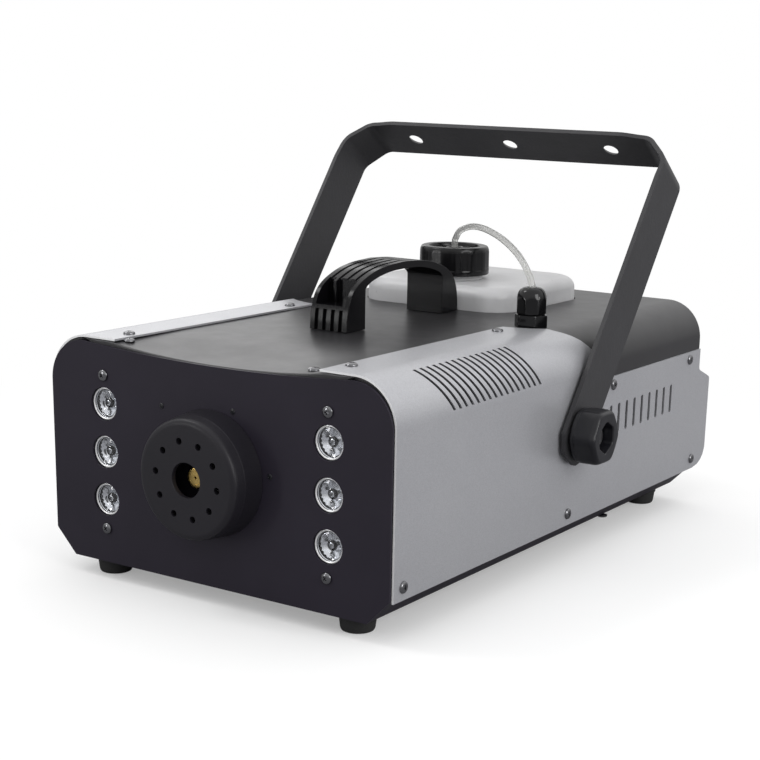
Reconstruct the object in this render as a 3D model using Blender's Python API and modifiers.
"""Stage fog machine with a hanging yoke: sheet-metal housing, heater, pump, tank, lamps, controls.

World frame: metres, +Z up, origin on the floor in the middle of the overall footprint.
The nozzle points to -Y and +Y is the rear.  Looking at the nozzle from in front, +X is right.

Sizes are millimetres.  Places are given in the plate frame: x as in the world, y from the
outer face of the front plate to the rear, z up from the underside of the chassis.
"""
import math

import bmesh
import bpy
from mathutils import Vector

MM = 0.001
GAP = 0.3                      # assembly clearance between neighbouring pieces

# ---------------------------------------------------------------- driving dimensions
FOOT_H = 11.0                  # sets the underside of the chassis
FRONT_Y = -200.25              # world y of the front plate's face, centres the footprint
FRAME = (0.0, FRONT_Y, FOOT_H)  # world place of the plate frame's zero
SIDES = (("left", -1), ("right", 1))

BODY_W = 250.0                 # width of the front plate
BODY_L = 404.0                 # front face to the rear edge of the top cover
CHASSIS_END = 402.0
DECK_TOP = 136.9               # top of the cover
SHEET = 1.2                    # cover and side panel gauge
PLATE_T = 1.5                  # front plate, rear plate and chassis gauge
CHAMFER = 15.0                 # lower corners of the chassis
FLOOR_Z = PLATE_T + GAP        # where pieces stand above the chassis floor

PANEL_X = 126.2                # outer face of a side panel
PANEL_TOP = 138.4              # outer face of a side panel's top lip
PANEL_R = 28.0                 # outer corner radius of a side panel
CORNER_X = PANEL_X - PANEL_R   # centre of the bend shared by cover, panels and rear plate
CORNER_Z = PANEL_TOP - PANEL_R
COVER_R = DECK_TOP - CORNER_Z
FLANGE_X = PANEL_X - SHEET - GAP   # outer face of the chassis flanges

PIVOT_Y = 205.0                # yoke pivot
PIVOT_Z = 75.0
YOKE_LEAN = 36.6               # degrees the yoke leans back at rest
YOKE_X = 131.5                 # outer face of an arm
YOKE_T = 3.0
YOKE_WIDTH = 35.5
YOKE_REACH = 215.2             # pivot to the outer face of the crossbar
YOKE_CORNER = 17.0             # bevelled corner between arm and crossbar
YOKE_TAIL = 19.0               # arm end below the pivot
YOKE_HOLE_D = 10.0
YOKE_HOLE_X = 80.0
KNOB_LEN = 17.7
BOLT_D = 8.0

LED_X = 82.9
LED_Z = (98.8, 69.2, 39.6)
LED_D = 19.3
LED_HOLE_D = 20.4
NOZZLE_Z = 69.0
SHROUD_D = 75.0
SHROUD_LEN = 22.5

HEATER_Z = (42.0, 96.0)
PUMP_X, PUMP_Y, PUMP_Z = 85.0, 288.0, 41.0     # middle of the pump, its axis along y

TANK_X = (-78.0, 45.0)
TANK_Y = (253.0, 374.0)
TANK_Z = (42.0, 154.5)
TANK_R = 24.0                  # rounding of its upright corners
TANK_WALL = 2.0
CAP_X, CAP_Y = -17.0, 288.0
CAP_D = 49.5
CAP_Z = (157.0, 176.5)
NECK_D = 40.0
NECK_TOP = 166.0
GLAND_X, GLAND_Y = 86.0, 217.0
TUBE_D = 5.0

REAR_Y = (398.5, 400.0)        # faces of the rear plate
REAR_OUT = REAR_Y[1] + GAP     # where pieces lie on its outside
# openings in the rear plate: x0, z0, x1, z1
DISPLAY = (-110.0, 80.0, -52.0, 106.0)
INLET = (58.0, 20.0, 106.0, 48.0)
SWITCH = (68.0, 66.0, 96.0, 88.0)
# round openings: x, z
BUTTONS = [(-104.0, 64.0), (-89.0, 64.0), (-74.0, 64.0), (-59.0, 64.0)]
FUSE_X, FUSE_Z = 82.0, 108.0
DMX = [(-24.0, 24.0), (24.0, 24.0)]

# linear base colour, roughness, metallic
FINISHES = {
    "black_paint": ((0.022, 0.021, 0.025), 0.42, 0.0),
    "cover_black": ((0.035, 0.035, 0.038), 0.38, 0.0),
    "silver_paint": ((0.36, 0.37, 0.39), 0.34, 0.55),
    "charcoal_paint": ((0.042, 0.041, 0.047), 0.45, 0.0),
    "black_plastic": ((0.012, 0.012, 0.014), 0.36, 0.0),
    "rubber_black": ((0.02, 0.02, 0.02), 0.8, 0.0),
    "tank_plastic": ((0.62, 0.62, 0.61), 0.4, 0.0),
    "tube_plastic": ((0.6, 0.6, 0.57), 0.25, 0.0),
    "brass": ((0.55, 0.38, 0.12), 0.3, 1.0),
    "zinc_steel": ((0.5, 0.5, 0.5), 0.35, 1.0),
    "aluminium": ((0.6, 0.6, 0.6), 0.45, 1.0),
    "clear_lens": ((0.8, 0.82, 0.85), 0.08, 0.0),
    "circuit_board": ((0.02, 0.16, 0.06), 0.5, 0.0),
    "copper": ((0.6, 0.3, 0.18), 0.35, 1.0),
    "display_plastic": ((0.03, 0.05, 0.07), 0.15, 0.0),
}

# ---------------------------------------------------------------- scene
for old in list(bpy.data.objects):
    bpy.data.objects.remove(old, do_unlink=True)

parts = bpy.data.collections.new("fog_machine")
cutters = bpy.data.collections.new("cutters")
for group in (parts, cutters):
    bpy.context.scene.collection.children.link(group)


def new_object(name, data):
    obj = bpy.data.objects.new(name, data)
    parts.objects.link(obj)
    return obj


def finish(obj, finish_name, sharp=35.0):
    """Gives the object its own material and smooth shading that stops at edges above sharp."""
    colour, roughness, metallic = FINISHES[finish_name]
    made = bpy.data.materials.new(obj.name + "_" + finish_name)
    made.use_nodes = True
    shader = made.node_tree.nodes["Principled BSDF"]
    shader.inputs["Base Color"].default_value = (*colour, 1.0)
    shader.inputs["Roughness"].default_value = roughness
    shader.inputs["Metallic"].default_value = metallic
    obj.data.materials.clear()
    obj.data.materials.append(made)
    obj.data.shade_smooth()
    obj.data.set_sharp_from_angle(angle=math.radians(sharp))


def baked(obj):
    """Replaces the object's modifiers or curve with the mesh they make, welded, facing out."""
    bpy.context.view_layer.update()
    graph = bpy.context.evaluated_depsgraph_get()
    mesh = bpy.data.meshes.new_from_object(obj.evaluated_get(graph))
    shape = bmesh.new()
    shape.from_mesh(mesh)
    bmesh.ops.remove_doubles(shape, verts=shape.verts, dist=1e-6)
    bmesh.ops.dissolve_degenerate(shape, edges=shape.edges, dist=1e-6)
    bmesh.ops.recalc_face_normals(shape, faces=shape.faces)
    shape.to_mesh(mesh)
    shape.free()
    name = obj.name
    matrix = obj.matrix_world.copy()
    obj.name = name + "_old"       # frees the name for the new object
    bpy.data.objects.remove(obj, do_unlink=True)
    mesh.name = name
    made = new_object(name, mesh)
    made.matrix_world = matrix
    return made


# ---------------------------------------------------------------- modifiers
def boolean(obj, other, operation):
    """Adds a boolean with the other object, which becomes a hidden helper."""
    parts.objects.unlink(other)
    cutters.objects.link(other)
    other.hide_render = True
    other.display_type = "WIRE"
    step = obj.modifiers.new(operation.lower(), "BOOLEAN")
    step.operation = operation
    step.solver = "EXACT"
    step.object = other


def cut(obj, other):
    boolean(obj, other, "DIFFERENCE")


def join(obj, other):
    boolean(obj, other, "UNION")


def round_edges(obj, width, segments, limit=None):
    """Bevels the edges sharper than limit degrees, or than Blender's default angle."""
    edge = obj.modifiers.new("edge", "BEVEL")
    edge.width = width * MM
    edge.segments = segments
    edge.limit_method = "ANGLE"
    if limit:
        edge.angle_limit = math.radians(limit)
    return obj


# ---------------------------------------------------------------- solids
def place(x, y, z):
    """Plate frame to world, mm."""
    return Vector((x, y + FRONT_Y, z + FOOT_H))


# rotation of the drawing plane, then the axes across it, up it and along its normal
PLANES = {
    "XY": ((0.0, 0.0, 0.0), (0, 1, 2)),
    "XZ": ((math.pi / 2, 0.0, 0.0), (0, 2, 1)),
    "YZ": ((math.pi / 2, 0.0, math.pi / 2), (1, 2, 0)),
}


def slab(name, plane, loops, thickness, middle):
    """A flat outline with holes, given thickness.  The loops are in the plane's two axes;
    their origin and the mid-plane are at middle, in world mm."""
    curve = bpy.data.curves.new(name, "CURVE")
    curve.dimensions = "2D"
    curve.fill_mode = "BOTH"
    curve.extrude = thickness / 2 * MM
    for loop in loops:
        spline = curve.splines.new("POLY")
        spline.points.add(len(loop) - 1)
        for point, (across, up) in zip(spline.points, loop):
            point.co = (across * MM, up * MM, 0.0, 1.0)
        spline.use_cyclic_u = True
    obj = new_object(name, curve)
    obj.rotation_euler = PLANES[plane][0]
    obj.location = Vector(middle) * MM
    return baked(obj)


def plate(name, plane, loops, low, high):
    """A slab drawn in the plate frame, from low to high along the plane's normal.  Its
    origin stays at the world's zero in the plane's own two axes."""
    across, up, normal = PLANES[plane][1]
    loops = [[(a + FRAME[across], b + FRAME[up]) for a, b in loop] for loop in loops]
    middle = [0.0, 0.0, 0.0]
    middle[normal] = (low + high) / 2 + FRAME[normal]
    return slab(name, plane, loops, high - low, middle)


def block(name, low, high):
    """A box between two corners in the plate frame, its origin in the middle."""
    low, high = place(*low), place(*high)
    mesh = bpy.data.meshes.new(name)
    shape = bmesh.new()
    bmesh.ops.create_cube(shape, size=1.0)
    bmesh.ops.scale(shape, vec=(high - low) * MM, verts=shape.verts)
    shape.to_mesh(mesh)
    shape.free()
    obj = new_object(name, mesh)
    obj.location = (low + high) / 2 * MM
    return obj


AXES = {
    "X": (0.0, math.pi / 2, 0.0),
    "-X": (0.0, -math.pi / 2, 0.0),
    "Y": (-math.pi / 2, 0.0, 0.0),
    "-Y": (math.pi / 2, 0.0, 0.0),
    "Z": (0.0, 0.0, 0.0),
}


def turned(name, profile, steps, axis, at):
    """A turned piece from (radius, height) pairs.  Heights run along the axis from the
    plate-frame point at.  A profile that stays clear of the axis is closed into a ring."""
    mesh = bpy.data.meshes.new(name)
    shape = bmesh.new()
    points = [shape.verts.new((radius * MM, 0.0, height * MM)) for radius, height in profile]
    pairs = list(zip(points, points[1:]))
    if profile[0][0] > 1e-6 and profile[-1][0] > 1e-6:
        pairs.append((points[-1], points[0]))
    for pair in pairs:
        shape.edges.new(pair)
    shape.to_mesh(mesh)
    shape.free()
    obj = new_object(name, mesh)
    sweep = obj.modifiers.new("sweep", "SCREW")
    sweep.steps = sweep.render_steps = steps
    sweep.use_merge_vertices = True
    sweep.merge_threshold = 1e-5
    obj.rotation_euler = AXES[axis]
    obj.location = place(*at) * MM
    return baked(obj)


def rod_profile(radius, low, high):
    return [(0.0, high), (radius, high), (radius, low), (0.0, low)]


def ring_profile(outer, inner, low, high):
    return [(outer, high), (outer, low), (inner, low), (inner, high)]


def pipe(name, points, diameter):
    """A round bar or hose through plate-frame points."""
    curve = bpy.data.curves.new(name, "CURVE")
    curve.dimensions = "3D"
    curve.bevel_depth = diameter / 2 * MM
    curve.bevel_resolution = 1
    curve.use_fill_caps = True
    spline = curve.splines.new("POLY")
    spline.points.add(len(points) - 1)
    for point, centre in zip(spline.points, points):
        point.co = (*(place(*centre) * MM), 1.0)
    return baked(new_object(name, curve))


# ---------------------------------------------------------------- outlines
def circle(x, y, radius, count=24, start=0.0):
    angles = [start + 2 * math.pi * i / count for i in range(count)]
    return [(x + radius * math.cos(angle), y + radius * math.sin(angle)) for angle in angles]


def arc(x, y, radius, start, end, count):
    """Points on an arc between two angles in degrees, both ends included."""
    angles = [math.radians(start + (end - start) * i / count) for i in range(count + 1)]
    return [(x + radius * math.cos(angle), y + radius * math.sin(angle)) for angle in angles]


def rectangle(x0, y0, x1, y1):
    return [(x0, y0), (x1, y0), (x1, y1), (x0, y1)]


def rounded(points, radii, count):
    """The closed outline with rounded corners; radii is one number or one per corner."""
    if not isinstance(radii, list):
        radii = [radii] * len(points)
    out = []
    for i, (point, radius) in enumerate(zip(points, radii)):
        corner = Vector(point)
        if radius <= 0:
            out.append(tuple(corner))
            continue
        before = (Vector(points[i - 1]) - corner).normalized()
        after = (Vector(points[(i + 1) % len(points)]) - corner).normalized()
        half = before.angle(after) / 2
        reach = radius / math.tan(half)
        centre = corner + (before + after).normalized() * (radius / math.sin(half))
        first = corner + before * reach - centre
        last = corner + after * reach - centre
        turn = first.angle(last)
        for k in range(count + 1):
            t = k / count
            spoke = first * math.sin((1 - t) * turn) + last * math.sin(t * turn)
            out.append(tuple(centre + spoke / math.sin(turn)))
    return out


def strip(points, thickness):
    """Closed outline of a bent strip: the open polyline, thickened to its left."""
    other = []
    for i, point in enumerate(points):
        normals = []
        for start, end in ((i - 1, i), (i, i + 1)):
            if start >= 0 and end < len(points):
                along = (Vector(points[end]) - Vector(points[start])).normalized()
                normals.append(Vector((-along.y, along.x)))
        mitre = sum(normals, Vector((0, 0))).normalized()
        other.append(tuple(Vector(point) + mitre * thickness / mitre.dot(normals[0])))
    return list(points) + other[::-1]


def mirrored(points, sign):
    """Points with x multiplied by the side's sign."""
    return [(sign * x, y) for x, y in points]


def smooth(points, count):
    """Points along a Catmull-Rom curve through the given ones, count to each span."""
    ends = [Vector(point) for point in points]
    ends = [2 * ends[0] - ends[1]] + ends + [2 * ends[-1] - ends[-2]]
    out = []
    for a, b, c, d in zip(ends, ends[1:], ends[2:], ends[3:]):
        for i in range(count):
            t = i / count
            out.append(0.5 * ((2 * b) + (c - a) * t + (2 * a - 5 * b + 4 * c - d) * t ** 2
                              + (3 * b - a - 3 * c + d) * t ** 3))
    return out + [ends[-2]]


# ---------------------------------------------------------------- chassis, plates and feet
def make_chassis():
    """Tray: a floor with chamfered corners and an upright flange on each side."""
    flange_top = 40.0
    tray = [(-FLANGE_X, flange_top), (-FLANGE_X, CHAMFER + 0.4), (-FLANGE_X + CHAMFER, 0.0),
            (FLANGE_X - CHAMFER, 0.0), (FLANGE_X, CHAMFER + 0.4), (FLANGE_X, flange_top)]
    chassis = plate("base_chassis", "XZ", [strip(tray, PLATE_T)], PLATE_T + GAP, CHASSIS_END)
    finish(chassis, "black_paint")


def make_front_plate():
    """Front plate with a dished top edge, six lamp holes and a nozzle hole."""
    half_w = BODY_W / 2
    corner_r = 26.0
    corner_x, corner_z = half_w - corner_r, 109.4
    dish = 4.1                     # how far the top edge dips in the middle
    top_spans = 16
    nozzle_hole_r = 16.0

    outline = [(-half_w + CHAMFER, 0.0), (half_w - CHAMFER, 0.0), (half_w, CHAMFER + 0.5)]
    outline += arc(corner_x, corner_z, corner_r, 0, 90, 8)
    for i in range(1, top_spans):
        x = corner_x - 2 * corner_x * i / top_spans
        outline.append((x, corner_z + corner_r - dish + dish * (x / corner_x) ** 2))
    outline += arc(-corner_x, corner_z, corner_r, 90, 180, 8)
    outline.append((-half_w, CHAMFER + 0.5))
    holes = [circle(sign * LED_X, z, LED_HOLE_D / 2, 16) for _, sign in SIDES for z in LED_Z]
    holes.append(circle(0.0, NOZZLE_Z, nozzle_hole_r, 16))
    finish(plate("front_plate", "XZ", [outline] + holes, 0.0, PLATE_T), "black_paint")


def make_rear_plate():
    """Rear plate inside the cover and tray, with the openings for the controls."""
    half_w = FLANGE_X - PLATE_T - GAP
    corner_r = COVER_R - SHEET - GAP
    outline = [(-half_w + 14.0, FLOOR_Z), (half_w - 14.0, FLOOR_Z), (half_w, FLOOR_Z + 14.6)]
    outline += arc(CORNER_X, CORNER_Z, corner_r, 0, 90, 6)
    outline += arc(-CORNER_X, CORNER_Z, corner_r, 90, 180, 6)
    outline.append((-half_w, FLOOR_Z + 14.6))
    holes = [rectangle(*opening) for opening in (DISPLAY, INLET, SWITCH)]
    holes.append(circle(FUSE_X, FUSE_Z, 6.3, 14))
    holes += [circle(x, z, 4.3, 10) for x, z in BUTTONS]
    holes += [circle(x, z, 11.8, 16) for x, z in DMX]
    finish(plate("rear_plate", "XZ", [outline] + holes, *REAR_Y), "black_paint")


def make_feet():
    """Four rubber feet, hollow in the middle; profile heights are from the floor."""
    top = FOOT_H - GAP
    profile = [(3.0, top), (11.6, top), (11.4, 7.0), (9.9, 0.6), (9.3, 0.0), (5.0, 0.0),
               (5.0, 3.5), (3.0, 3.5)]
    for end, foot_x, foot_y in (("front", 92.5, 17.0), ("rear", 97.0, 376.0)):
        for side, sign in SIDES:
            foot = turned("foot_%s_%s" % (end, side), profile, 14, "Z",
                          (sign * foot_x, foot_y, -FOOT_H))
            finish(foot, "rubber_black")


# ---------------------------------------------------------------- top cover
def cover_sheet():
    """Bent sheet whose flat deck dips in the middle towards the front plate."""
    skirt_z = 88.0                 # lower edge of the cover's sides
    deck_x = 88.0                  # half-width of the part that dips
    dip_depth = 5.4
    dip_end = 70.0                 # y where the dip runs out
    deck_spans = 12
    # y, drop of the deck's rolled front edge
    rows = [(1.8, 2.6), (2.4, 0.7), (3.6, 0.0), (14.0, 0.0), (28.0, 0.0), (42.0, 0.0),
            (56.0, 0.0), (dip_end, 0.0), (BODY_L, 0.0)]

    def dip(x, y):
        if abs(x) >= deck_x or y >= dip_end:
            return 0.0
        return (dip_depth * (1 - (x / deck_x) ** 2)
                * math.cos(math.pi / 2 * y / dip_end) ** 2)

    side = [(CORNER_X + COVER_R, skirt_z)] + arc(CORNER_X, CORNER_Z, COVER_R, 0, 90, 7)
    deck = [(deck_x - 2 * deck_x * i / deck_spans, DECK_TOP) for i in range(deck_spans + 1)]
    section = side + deck + mirrored(side[::-1], -1)

    mesh = bpy.data.meshes.new("top_cover")
    shape = bmesh.new()
    grid = []
    for y, drop in rows:
        line = []
        for x, z in section:
            lowered = dip(x, y) + drop if abs(x) <= deck_x + 0.01 else 0.0
            line.append(shape.verts.new(place(x, y, z - lowered) * MM))
        grid.append(line)
    for near, far in zip(grid, grid[1:]):
        for i in range(len(section) - 1):
            shape.faces.new((near[i], near[i + 1], far[i + 1], far[i]))
    bmesh.ops.recalc_face_normals(shape, faces=shape.faces)
    shape.to_mesh(mesh)
    shape.free()
    cover = new_object("top_cover", mesh)
    gauge = cover.modifiers.new("gauge", "SOLIDIFY")
    gauge.thickness = SHEET * MM
    gauge.offset = -1.0
    return baked(cover)


def make_top_cover():
    """Cover with openings for the tank and the gland, and a window behind each vent row."""
    cover = cover_sheet()
    tank_gap = 0.6
    opening = rectangle(TANK_X[0] - tank_gap, TANK_Y[0] - tank_gap,
                        TANK_X[1] + tank_gap, TANK_Y[1] + tank_gap)
    for name, loop in (("cut_tank_opening", rounded(opening, TANK_R + tank_gap, 5)),
                       ("cut_gland_hole", circle(GLAND_X, GLAND_Y, 8.2, 20))):
        cut(cover, plate(name, "XY", [loop], DECK_TOP - 10.0, DECK_TOP + 10.0))
    for side, sign in SIDES:
        low_x, high_x = sorted((sign * 106.0, sign * 130.0))
        cut(cover, block("cut_vent_window_" + side, (low_x, 38.0, 109.0), (high_x, 168.0, 140.0)))
    finish(cover, "cover_black")


# ---------------------------------------------------------------- side panels
LIP_X = 75.0                   # inner edge of the top lip
PANEL_LOW = 14.0               # lower edge
PANEL_Y0 = 2.2                 # front edge, a shadow gap behind the front plate's face
WING_END = 423.0               # rear end of the wing
# outline seen from the side: y, z
PANEL_OUTLINE = [
    (PANEL_Y0, PANEL_LOW), (402.0, PANEL_LOW), (414.0, 16.0), (420.0, 20.0),
    (WING_END, 26.5), (WING_END, 79.0), (421.5, 80.8), (404.0, 88.0), (403.0, 89.5),
    (403.0, 103.5), (262.0, 103.5), (255.0, 104.8), (248.0, 109.3), (240.0, 117.6),
    (231.5, 126.8), (227.5, 130.4), (222.0, 133.4), (217.0, 135.7), (212.0, 137.6),
    (210.0, 141.0), (PANEL_Y0, 141.0),
]
# piece cut off the lip's rear end, seen from above: x, y
LIP_END = [(70.0, 199.0), (80.0, 201.0), (90.0, 204.0), (97.0, 207.6), (102.0, 211.6),
           (102.0, 235.0), (70.0, 235.0)]
VENT_COUNT, VENT_PITCH, VENT_Y0 = 16, 6.62, 43.9
VENT_Z = (113.0, 136.3)
VENT_SKEW = 17.0               # how far a vent's lower end lies behind its upper end
VENT_HALF_W = 1.3
SLOT_COUNT, SLOT_PITCH, SLOT_Y0 = 10, 11.857, 247.7
SLOT_Z = (64.0, 84.0)
SLOT_HALF_W = 1.4


def panel_openings():
    """Slanted vents, the rear row of upright slots, and the pivot hole."""
    loops = []
    for i in range(VENT_COUNT):
        y = VENT_Y0 + i * VENT_PITCH
        loops.append([(y - VENT_HALF_W + VENT_SKEW, VENT_Z[0]),
                      (y + VENT_HALF_W + VENT_SKEW, VENT_Z[0]),
                      (y + VENT_HALF_W, VENT_Z[1]), (y - VENT_HALF_W, VENT_Z[1])])
    for i in range(SLOT_COUNT):
        y = SLOT_Y0 + i * SLOT_PITCH
        loops.append(rectangle(y - SLOT_HALF_W, SLOT_Z[0], y + SLOT_HALF_W, SLOT_Z[1]))
    loops.append(circle(PIVOT_Y, PIVOT_Z, BOLT_D / 2 + 0.6, 12))
    return loops


def make_side_panel(side, sign):
    """A bent sheet trimmed to the panel's outline, then slotted."""
    section = [(LIP_X, PANEL_TOP)] + arc(CORNER_X, CORNER_Z, PANEL_R, 90, 0, 6)
    section.append((PANEL_X, PANEL_LOW - 2))
    body = plate("side_panel_" + side, "XZ", [strip(mirrored(section, sign), -sign * SHEET)],
                 0.0, WING_END + 1.0)
    outline_x, slots_x = sign * 100.0, sign * 118.0      # middles of the helper slabs
    boolean(body, plate("cut_outline_" + side, "YZ", [PANEL_OUTLINE],
                        outline_x - 35.0, outline_x + 35.0), "INTERSECT")
    cut(body, plate("cut_lip_end_" + side, "XY", [mirrored(LIP_END, sign)],
                    PANEL_TOP - 8.0, PANEL_TOP + 8.0))
    cut(body, plate("cut_slots_" + side, "YZ", panel_openings(),
                    slots_x - 13.0, slots_x + 13.0))
    finish(body, "silver_paint", sharp=25.0)


# ---------------------------------------------------------------- carrying handle
def make_handle():
    """An arch along the body, bevelled on its sharp edges."""
    middle_x, middle_y, width = -3.0, 182.6, 28.4
    # rear half, outer line then inner line: y from the middle, z
    half = [(0, 176.3), (18, 175.4), (30, 173.8), (38.5, 171.8), (47.5, 168.6), (53.5, 165.6),
            (58, 162.2), (61.5, 157.4), (63.8, 151.5), (65.0, 145.0), (65.5, 137.2),
            (45.2, 137.2), (45.2, 160.5), (44.4, 163.0), (42.0, 165.0), (37.0, 167.0),
            (28.0, 169.3), (16.0, 171.1), (0, 171.7)]
    arch = [(middle_y + y, z) for y, z in half]
    arch += [(middle_y - y, z) for y, z in half[-2:0:-1]]
    handle = plate("carry_handle", "YZ", [arch], middle_x - width / 2, middle_x + width / 2)
    round_edges(handle, 1.4, 2, limit=60)
    finish(handle, "black_plastic")


# ---------------------------------------------------------------- yoke and its pivots
def make_yoke():
    """Bent flat bar, drawn upright about its pivot and leaned back by its parent."""
    axis = new_object("yoke_axis", None)
    axis.location = place(0.0, PIVOT_Y, PIVOT_Z) * MM
    axis.rotation_euler = (-math.radians(YOKE_LEAN), 0.0, 0.0)

    arm_end = -YOKE_TAIL - 4       # spare length, trimmed by the side view
    crossbar_x = YOKE_X - YOKE_CORNER
    corner_z = YOKE_REACH - YOKE_CORNER
    outer = rounded([(YOKE_X, arm_end), (YOKE_X, corner_z), (crossbar_x, YOKE_REACH),
                     (-crossbar_x, YOKE_REACH), (-YOKE_X, corner_z), (-YOKE_X, arm_end)],
                    [0, 12, 12, 12, 12, 0], 3)
    yoke = slab("yoke", "XZ", [strip(outer, YOKE_T)], YOKE_WIDTH, (0, 0, 0))

    half_w, top = YOKE_WIDTH / 2, YOKE_REACH + 5
    side_view = rounded([(-half_w + 9, -YOKE_TAIL), (half_w - 9, -YOKE_TAIL),
                         (half_w, -YOKE_TAIL + 10), (half_w, top), (-half_w, top),
                         (-half_w, -YOKE_TAIL + 10)], [4, 4, 4, 0, 0, 4], 3)
    boolean(yoke, slab("cut_yoke_ends", "YZ", [side_view], 300.0, (0, 0, 0)), "INTERSECT")
    bolt_hole = circle(0, 0, BOLT_D / 2 + 0.4, 12)
    cut(yoke, slab("cut_yoke_bolts", "YZ", [bolt_hole], 300.0, (0, 0, 0)))
    bar_holes = [circle(x, 0, YOKE_HOLE_D / 2, 14) for x in (-YOKE_HOLE_X, 0, YOKE_HOLE_X)]
    cut(yoke, slab("cut_yoke_holes", "XY", bar_holes, 20.0, (0, 0, YOKE_REACH)))
    for step in yoke.modifiers:
        step.object.parent = axis
    finish(yoke, "charcoal_paint")
    yoke.parent = axis


# spans along x from the panel outwards
SPACER = (PANEL_X + GAP, YOKE_X - YOKE_T - GAP)
WASHER = (YOKE_X + GAP, YOKE_X + GAP + 1.0)
KNOB = (WASHER[1] + GAP, WASHER[1] + GAP + KNOB_LEN)
SOCKET = KNOB[0] + 6.4         # floor of the knob's hexagon socket
PIVOT_BORE = BOLT_D / 2 + 0.5  # radius


def pivot_slab(name, loop, thickness, x):
    """A slab drawn about the pivot axis, its middle at x."""
    return slab(name, "YZ", [loop], thickness, place(x, PIVOT_Y, PIVOT_Z))


def make_knob(side, sign):
    hexagon_turn = math.radians(30)
    hexagon = rounded(circle(0, 0, 19.6, 6, hexagon_turn), 7.0, 4)
    knob = pivot_slab("knob_" + side, hexagon, KNOB_LEN, sign * sum(KNOB) / 2)
    round_edges(knob, 1.8, 2, limit=60)
    cut(knob, pivot_slab("cut_knob_bore_" + side, circle(0, 0, PIVOT_BORE, 20), 80.0,
                         sign * 145.0))
    socket_len = KNOB[1] + 5 - SOCKET
    cut(knob, pivot_slab("cut_knob_socket_" + side, circle(0, 0, 9.2, 6, hexagon_turn),
                         socket_len, sign * (SOCKET + socket_len / 2)))
    finish(knob, "black_plastic")


def make_pivot_bracket(side, sign):
    """Bent bracket standing on the chassis floor, with a hexagon nut joined on."""
    nut_x = sign * 114.0
    angle = mirrored([(88.0, FLOOR_Z), (108.4, FLOOR_Z), (119.4, 13.6), (119.4, 95.0)], sign)
    bracket = plate("pivot_bracket_" + side, "XZ", [strip(angle, sign * 2.5)],
                    PIVOT_Y - 18.0, PIVOT_Y + 18.0)
    join(bracket, pivot_slab("join_weld_nut_" + side, circle(0, 0, 7.5, 6), 7.5, nut_x))
    cut(bracket, pivot_slab("cut_bracket_" + side, circle(0, 0, BOLT_D / 2 + 0.4, 16), 30.0,
                            nut_x))
    finish(bracket, "zinc_steel")


def make_pivot(side, sign):
    """Spacer, washer, knob, bolt and bracket on one side."""
    axis = "X" if sign > 0 else "-X"
    at = (0, PIVOT_Y, PIVOT_Z)
    for name, span, radius, finish_name in (("pivot_spacer_", SPACER, 13.0, "rubber_black"),
                                            ("knob_washer_", WASHER, 11.0, "zinc_steel")):
        profile = ring_profile(radius, PIVOT_BORE, *span)
        finish(turned(name + side, profile, 14, axis, at), finish_name)
    make_knob(side, sign)
    head = SOCKET + GAP
    bolt = [(0.0, head + 5.3), (5.6, head + 5.3), (6.5, head + 4.4), (6.5, head),
            (BOLT_D / 2, head), (BOLT_D / 2, 110.0), (3.4, 109.0), (0.0, 109.0)]
    finish(turned("pivot_bolt_" + side, bolt, 16, axis, at), "zinc_steel")
    make_pivot_bracket(side, sign)


# ---------------------------------------------------------------- nozzle
def make_nozzle():
    """Dished shroud with a ring of small holes, and the brass tip in its middle."""
    at = (0, 0.0, NOZZLE_Z)
    profile = [(10.2, SHROUD_LEN), (32.4, SHROUD_LEN), (34.4, 21.9), (35.5, 20.4), (36.2, 16.0),
               (37.2, 3.0), (SHROUD_D / 2, GAP), (34.4, GAP), (33.0, 19.2), (10.2, 19.2)]
    shroud = turned("nozzle_shroud", profile, 28, "-Y", at)
    hole_count, ring_r, first_angle = 10, 22.7, -11.8      # angle clockwise from the top
    holes = []
    for i in range(hole_count):
        angle = math.radians(360 / hole_count * i + first_angle)
        holes.append(circle(ring_r * math.sin(angle), NOZZLE_Z + ring_r * math.cos(angle), 2.0, 8))
    cut(shroud, plate("cut_shroud_holes", "XZ", holes, -28.0, -14.0))
    finish(shroud, "black_plastic")

    tip = [(0.8, 14.2), (4.6, 14.2), (5.6, 13.6), (6.4, 11.8), (6.4, -3.0), (5.0, -4.0),
           (5.0, -22.0), (0.0, -22.0), (0.0, 8.0), (0.8, 8.0)]
    finish(turned("nozzle_tip", tip, 14, "-Y", at), "brass")


# ---------------------------------------------------------------- heater
def make_heater():
    """Block on a cradle, under a folded shield, with a thermostat on top."""
    low, high = HEATER_Z
    heater = block("heater_block", (-32, 22.3, low), (32, 150.0, high))
    round_edges(heater, 3.0, 2)
    finish(heater, "aluminium")

    cradle_t = 1.5
    seat_z = low - GAP - cradle_t
    cradle = [(-60, FLOOR_Z), (-38, FLOOR_Z), (-38, seat_z), (38, seat_z), (38, FLOOR_Z),
              (60, FLOOR_Z)]
    finish(plate("heater_bracket", "XZ", [strip(cradle, cradle_t)], 40.0, 132.0), "zinc_steel")

    shield = strip([(-43, 34.0), (-43, 114.0), (43, 114.0), (43, 34.0)], -1.2)
    finish(plate("heater_shield", "XZ", [shield], 27.0, 145.0), "zinc_steel")

    profile = [(0.0, 12.0), (3.0, 12.0), (3.0, 9.5), (8.0, 9.5), (8.0, 3.0), (11.0, 3.0),
               (11.0, 0.0), (0.0, 0.0)]
    finish(turned("thermostat", profile, 12, "Z", (0, 100.0, high + GAP)), "black_plastic")


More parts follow.
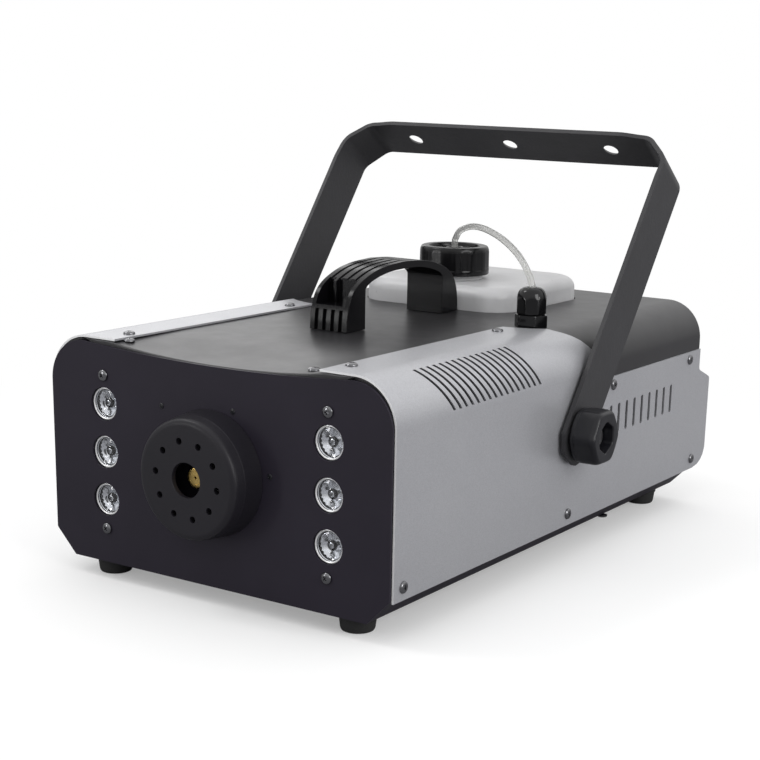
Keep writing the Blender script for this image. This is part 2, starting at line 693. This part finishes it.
# ---------------------------------------------------------------- pump
def make_pump():
    """Square coil round a turned core, on a folded saddle, and its pipe to the heater."""
    coil = block("pump_coil", (PUMP_X - 19, PUMP_Y - 20, PUMP_Z - 18.7),
                 (PUMP_X + 19, PUMP_Y + 20, PUMP_Z + 18.7))
    round_edges(coil, 2.0, 2)
    cut(coil, plate("cut_coil_bore", "XZ", [circle(PUMP_X, PUMP_Z, 9.7, 14)],
                    PUMP_Y - 30, PUMP_Y + 30))
    finish(coil, "black_plastic")

    core = [(0.0, 36.0), (3.2, 36.0), (3.2, 28.0), (9.2, 28.0), (9.2, -28.0), (6.5, -28.0),
            (6.5, -36.0), (3.2, -36.0), (3.2, -44.0), (0.0, -44.0)]
    finish(turned("pump_core", core, 12, "-Y", (PUMP_X, PUMP_Y, PUMP_Z)), "brass")

    # x from the pump's axis, z
    saddle = [(-30, FLOOR_Z), (-21, FLOOR_Z), (-21, 20.4), (21, 20.4), (21, FLOOR_Z)]
    saddle = strip([(PUMP_X + x, z) for x, z in saddle], 1.5)
    finish(plate("pump_bracket", "XZ", [saddle], PUMP_Y - 19, PUMP_Y + 19), "zinc_steel")

    route = [(PUMP_X, 251.0, PUMP_Z), (PUMP_X, 238.0, PUMP_Z + 2), (70.0, 215.0, 62.0),
             (34.0, 180.0, 78.0), (6.0, 164.0, 80.0), (0.0, 150.5, 80.0)]
    finish(pipe("fluid_pipe", smooth(route, 3), 4.0), "copper")


# ---------------------------------------------------------------- tank and cap
CAP_AT = (CAP_X, CAP_Y, 0.0)   # cap pieces are turned about this point
GLAND_AT = (GLAND_X, GLAND_Y, 0.0)
TUBE_R = TUBE_D / 2


def tank_body(name, inset, corner_count, edge_r, edge_segments):
    """Rounded block, the tank's outside drawn in by inset on every face."""
    outline = rectangle(TANK_X[0] + inset, TANK_Y[0] + inset, TANK_X[1] - inset, TANK_Y[1] - inset)
    body = plate(name, "XY", [rounded(outline, TANK_R - inset, corner_count)],
                 TANK_Z[0] + inset, TANK_Z[1] - inset)
    return baked(round_edges(body, edge_r, edge_segments, limit=60))


def make_tank():
    """Hollow shell with a neck bored through into it."""
    top = TANK_Z[1]
    shell = tank_body("tank", 0.0, 5, 7.0, 3)
    join(shell, turned("join_neck", rod_profile(NECK_D / 2, top - 1.0, NECK_TOP), 28, "Z", CAP_AT))
    cut(shell, tank_body("cut_tank_inside", TANK_WALL, 4, 5.5, 2))
    bore = rod_profile(NECK_D / 2 - 2.4, top - 12, NECK_TOP + 5)
    cut(shell, turned("cut_neck_bore", bore, 24, "Z", CAP_AT))
    finish(shell, "tank_plastic")


def make_cap():
    """Cap with a hole for the tube, over a flat seal on the neck."""
    seal_low = NECK_TOP + GAP
    seal_high = seal_low + 1.7
    finish(turned("cap_seal", ring_profile(19.4, 13.0, seal_low, seal_high), 16, "Z", CAP_AT),
           "rubber_black")
    low, high = CAP_Z
    ceiling = seal_high + GAP
    hole_r = TUBE_R + 0.7
    profile = [(hole_r, high - 2.4), (17.5, high - 2.4), (18.3, high), (23.4, high),
               (CAP_D / 2, high - 1.6), (CAP_D / 2, low), (20.6, low), (20.6, ceiling),
               (hole_r, ceiling)]
    finish(turned("tank_cap", profile, 22, "Z", CAP_AT), "black_plastic")


# ---------------------------------------------------------------- hose and gland
def make_feed_tube():
    """Hose from inside the tank, over the deck, down through the gland to the pump."""
    # over the deck: x and y from the cap, z
    from_cap = [(0, 0, 180.0), (5.4, -3.7, 186.2), (14, -9.6, 190.0), (25, -17.2, 192.4),
                (39.5, -27.2, 192.7), (57, -39.3, 190.3), (71, -48.9, 186.6)]
    # down to the gland: x and y from the gland, z
    to_gland = [(-19.6, 13.5, 181.6), (-9.8, 6.8, 175.2), (-3.2, 2.2, 168.8), (0, 0, 164.0)]
    over = [(CAP_X + x, CAP_Y + y, z) for x, y, z in from_cap]
    over += [(GLAND_X + x, GLAND_Y + y, z) for x, y, z in to_gland]
    to_pump = [(GLAND_X, GLAND_Y, 122.0), (GLAND_X + 6, GLAND_Y + 14, 104.0),
               (112.0, 262.0, 84.0), (113.0, 318.0, 62.0), (108.0, 350.0, 46.0),
               (96.0, 354.0, 41.5), (PUMP_X, 344.0, PUMP_Z), (PUMP_X, 332.6, PUMP_Z)]
    route = [(CAP_X, CAP_Y, z) for z in (64.0, 120.0, 176.0)]
    route += smooth(over, 3)
    route += [(GLAND_X, GLAND_Y, z) for z in (150.0, 130.0)]
    route += smooth(to_pump, 3)
    finish(pipe("feed_tube", route, TUBE_D), "tube_plastic")

    intake = [(0.0, 63.6), (4.0, 63.6), (7.0, 60.0), (7.0, 46.0), (0.0, 46.0)]
    finish(turned("intake_filter", intake, 16, "Z", CAP_AT), "brass")


def make_gland():
    """Cable gland that holds the hose: body with a hexagon, nut above, locknut below."""
    deck = DECK_TOP + GAP
    hexagon_h = 8.6
    bore = TUBE_R + 0.5
    body_top = deck + 14.0
    body = turned("gland_body", ring_profile(7.3, bore, 122.0, body_top), 12, "Z", GLAND_AT)
    hexagon = plate("join_gland_hex", "XY", [circle(GLAND_X, GLAND_Y, 11.0, 6, 0.2)],
                    deck, deck + hexagon_h)
    cut(hexagon, plate("cut_gland_hex", "XY", [circle(GLAND_X, GLAND_Y, 6.0, 16)],
                       deck + hexagon_h / 2 - 6.0, deck + hexagon_h / 2 + 6.0))
    join(body, baked(hexagon))
    finish(body, "black_plastic")

    nut_low, ceiling = deck + hexagon_h + GAP, deck + 14.4
    nut = [(bore, 163.0), (5.0, 163.0), (7.8, 161.4), (9.4, 158.4), (10.0, 154.5),
           (10.0, nut_low), (7.7, nut_low), (7.7, ceiling), (bore, ceiling)]
    finish(turned("gland_nut", nut, 14, "Z", GLAND_AT), "black_plastic")
    lock_top = DECK_TOP - SHEET - GAP
    locknut = ring_profile(10.5, 7.7, lock_top - 4.5, lock_top)
    finish(turned("gland_locknut", locknut, 12, "Z", GLAND_AT), "black_plastic")


# ---------------------------------------------------------------- lamps and control board
def make_lamps(side, sign):
    """Three lenses behind the front plate's holes, with one board behind them."""
    profile = [(0.0, -1.8), (7.6, -2.2), (LED_D / 2, -3.0), (LED_D / 2, -5.0), (4.4, -11.3),
               (0.0, -11.3)]
    middle = sign * LED_X
    for number, z in enumerate(LED_Z, 1):
        lens = turned("led_lens_%s_%d" % (side, number), profile, 14, "-Y", (middle, 0.0, z))
        finish(lens, "clear_lens")
    board = block("led_board_" + side, (middle - 12, 11.6, 14.0), (middle + 12, 13.2, 123.0))
    finish(board, "circuit_board")


def make_control_board():
    """Upright board along the left side, its components standing towards +X."""
    face_x = -106.4
    # y0, z0, y1, z1, height above the board's face
    components = [(256, 28, 300, 66, 25.0), (308, 30, 326, 58, 17.0), (332, 30, 350, 58, 17.0),
                  (262, 74, 280, 92, 12.0), (292, 72, 364, 90, 9.0)]
    board = block("control_board", (-108.0, 250.0, 22.0), (face_x, 372.0, 98.0))
    for number, (y0, z0, y1, z1, height) in enumerate(components):
        join(board, block("join_component_%d" % number, (-107.0, y0, z0),
                          (face_x + height, y1, z1)))
    finish(board, "circuit_board")


# ---------------------------------------------------------------- rear controls
def opening_block(name, opening, margin, low_y, high_y):
    """A block that overlaps a rear-plate opening by margin all round."""
    x0, z0, x1, z1 = opening
    return block(name, (x0 - margin, low_y, z0 - margin), (x1 + margin, high_y, z1 + margin))


def make_display():
    module = opening_block("display_module", DISPLAY, -GAP, 388.0, REAR_OUT + 2.0)
    bezel = opening_block("join_bezel", DISPLAY, 4.0, REAR_OUT, REAR_OUT + 2.4)
    join(module, round_edges(bezel, 0.8, 1))
    finish(module, "display_plastic")
    profile = [(0.0, 3.4), (3.1, 3.4), (3.8, 2.7), (3.8, -2.2), (5.4, -2.2), (5.4, -3.4),
               (0.0, -3.4)]
    for number, (x, z) in enumerate(BUTTONS, 1):
        finish(turned("menu_button_%d" % number, profile, 10, "Y", (x, REAR_OUT, z)),
               "black_plastic")


def make_inlet():
    """Flanged power inlet with a six-sided socket and three flat pins."""
    inlet = opening_block("power_inlet", INLET, -GAP, 376.0, REAR_OUT + 1.0)
    flange = opening_block("join_inlet_flange", INLET, 3.0, REAR_OUT, REAR_OUT + 2.5)
    join(inlet, round_edges(flange, 1.0, 1))
    middle_x, middle_z = (INLET[0] + INLET[2]) / 2, (INLET[1] + INLET[3]) / 2
    # from the middle of the inlet: x, z
    outline = [(-12.5, -8.5), (12.5, -8.5), (12.5, 3.5), (7.5, 8.5), (-7.5, 8.5), (-12.5, 3.5)]
    pins = [(-7.0, -1.5), (7.0, -1.5), (0.0, 2.5)]
    socket = rounded([(middle_x + x, middle_z + z) for x, z in outline], 1.0, 1)
    cut(inlet, plate("cut_inlet_socket", "XZ", [socket], REAR_OUT - 17.0, REAR_OUT + 17.0))
    for number, (pin_x, pin_z) in enumerate(pins):
        x, z = middle_x + pin_x, middle_z + pin_z
        join(inlet, block("join_inlet_pin_%d" % number, (x - 1.0, 380.0, z - 2.0),
                          (x + 1.0, REAR_OUT - 2.0, z + 2.0)))
    finish(inlet, "black_plastic")


def make_switch():
    """Switch housing with a well, and a tilted rocker in it."""
    x0, z0, x1, z1 = SWITCH
    well_inset = 3.0
    housing = opening_block("switch_housing", SWITCH, -GAP, 380.0, REAR_OUT + 1.0)
    bezel = opening_block("join_switch_bezel", SWITCH, 1.5, REAR_OUT, REAR_OUT + 1.8)
    join(housing, round_edges(bezel, 0.6, 1))
    cut(housing, block("cut_switch_well", (x0 + well_inset, 390.0, z0 + 2.5),
                       (x1 - well_inset, REAR_OUT + 9.0, z1 - 2.5)))
    finish(housing, "black_plastic")

    # shallow V seen from the side, about its own origin inside the well: y, z
    outline = [(-4.0, -2.0), (-4.0, 2.0), (2.6, 7.0), (6.0, 7.0), (4.6, 0.0), (6.0, -7.0),
               (2.6, -7.0)]
    tilt = math.radians(8)
    outline = [(y * math.cos(tilt) - z * math.sin(tilt), y * math.sin(tilt) + z * math.cos(tilt))
               for y, z in outline]
    rocker = slab("power_rocker", "YZ", [outline], x1 - x0 - 2 * (well_inset + 0.6),
                  place((x0 + x1) / 2, 396.5, (z0 + z1) / 2))
    finish(rocker, "black_plastic")


def make_fuse():
    """Round fuse carrier with a slot across its head."""
    profile = [(0.0, 9.0), (6.6, 9.0), (7.5, 8.2), (7.5, GAP), (5.8, GAP), (5.8, -24.0),
               (0.0, -24.0)]
    fuse = turned("fuse_carrier", profile, 14, "Y", (FUSE_X, REAR_Y[1], FUSE_Z))
    cut(fuse, block("cut_fuse_slot", (FUSE_X - 5.0, REAR_OUT + 7.2, FUSE_Z - 0.8),
                    (FUSE_X + 5.0, REAR_OUT + 12.0, FUSE_Z + 0.8)))
    finish(fuse, "black_plastic")


def dmx_contacts(x, z, first_angle, radius):
    """Three small circles a quarter turn apart about the socket's middle."""
    contact_r = 4.6
    angles = [math.radians(first_angle + 90 * i) for i in range(3)]
    return [circle(x + contact_r * math.cos(angle), z + contact_r * math.sin(angle), radius, 8)
            for angle in angles]


def dmx_body(name, x, z):
    """Round barrel with a rectangular flange."""
    body = turned(name, rod_profile(11.4, -22.0, 1.0), 16, "Y", (x, REAR_OUT, z))
    flange = rounded(rectangle(x - 13, z - 14.8, x + 13, z + 14.8), 2.0, 2)
    join(body, plate("join_" + name, "XZ", [flange], REAR_OUT, REAR_OUT + 2.0))
    return body


def make_dmx_sockets():
    """Input with a well and three pins, output with three holes."""
    x, z = DMX[0]
    name = "dmx_input_socket"
    body = dmx_body(name, x, z)
    cut(body, plate("cut_" + name, "XZ", [circle(x, z, 9.2, 16)],
                    REAR_OUT - 13.0, REAR_OUT + 13.0))
    for number, pin in enumerate(dmx_contacts(x, z, 270, 1.2)):
        join(body, plate("join_pin_%d" % number, "XZ", [pin], REAR_OUT - 15.0, REAR_OUT - 1.0))
    finish(body, "black_plastic")

    x, z = DMX[1]
    name = "dmx_output_socket"
    body = dmx_body(name, x, z)
    cut(body, plate("cut_" + name, "XZ", dmx_contacts(x, z, 0, 1.6),
                    REAR_OUT - 12.0, REAR_OUT + 12.0))
    finish(body, "black_plastic")


# ---------------------------------------------------------------- build
make_chassis()
make_front_plate()
make_top_cover()
make_rear_plate()
make_feet()
make_handle()
make_yoke()
for side_name, side_sign in SIDES:
    make_side_panel(side_name, side_sign)
    make_pivot(side_name, side_sign)
    make_lamps(side_name, side_sign)
make_nozzle()
make_heater()
make_pump()
make_tank()
make_cap()
make_feed_tube()
make_gland()
make_control_board()
make_display()
make_inlet()
make_switch()
make_fuse()
make_dmx_sockets()

bpy.context.view_layer.update()
